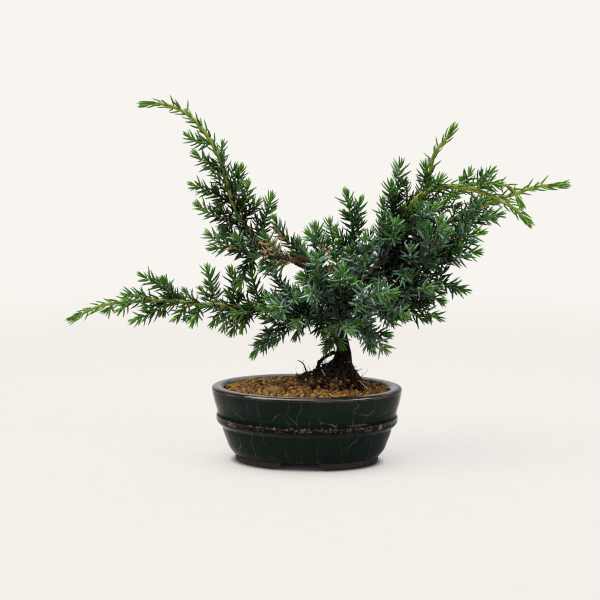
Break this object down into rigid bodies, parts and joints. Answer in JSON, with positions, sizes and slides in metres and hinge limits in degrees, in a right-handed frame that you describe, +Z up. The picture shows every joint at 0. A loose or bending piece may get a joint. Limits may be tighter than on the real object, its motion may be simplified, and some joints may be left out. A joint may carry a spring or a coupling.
{
  "type": "bonsai tree in a pot",
  "caption": "Small needle-leaved conifer bonsai with a slanting crown and long whips, rooted in granular soil in an oval glazed pot that stands on two low feet.",
  "frame": {"origin": "centre of the whole plant and pot's bounding box in plan, on the surface that the pot's feet stand on", "axes": "+Z up, +X along the pot's long axis towards the end that the trunk stands nearer, -Y towards the front of the pot"},
  "size_m": [0.4024, 0.1562, 0.289],
  "materials": {
    "glaze": "gloss",
    "soil": "matte",
    "bark": "matte",
    "mesh": "matte",
    "needles": "satin"
  },
  "bodies": {
    "root": {"pot": "glaze", "drain_mesh_left": "mesh", "drain_mesh_right": "mesh", "soil": "soil", "trunk_and_roots": "bark", "whip_upper_left": "needles", "upright_left": "needles", "spray_mid_left": "needles", "whip_lower_left": "needles", "hanging_left": "needles", "hanging_mid": "needles", "hanging_right": "needles", "front_left": "needles", "front_mid": "needles", "upright_low_left": "needles", "upright_mid_left": "needles", "front_upper_left": "needles", "upright_centre": "needles", "front_blue": "needles", "upright_right": "needles", "leader": "needles", "upright_far_right": "needles", "whip_right": "needles", "whip_right_back": "needles", "whip_far_right": "needles", "spray_right_high": "needles", "spray_right_mid": "needles", "spray_right": "needles", "front_right": "needles", "spray_right_low": "needles", "spray_lower_right": "needles", "hanging_far_right": "needles", "hanging_back_right": "needles", "front_bright": "needles", "low_front_right": "needles", "low_right": "needles", "low_front": "needles", "low_trunk": "needles", "front_centre": "needles", "back_upper_left": "needles", "back_top": "needles", "back_mid_left": "needles", "back_low_left": "needles", "back_low": "needles", "back_hanging": "needles", "back_centre": "needles", "back_right": "needles", "back_far_right": "needles", "back_out": "needles", "back_low_right": "needles", "back_high_right": "needles", "front_high_right": "needles", "front_far_right": "needles", "front_low_right": "needles", "front_out_right": "needles", "front_low_left": "needles"}
  },
  "joints": []
}
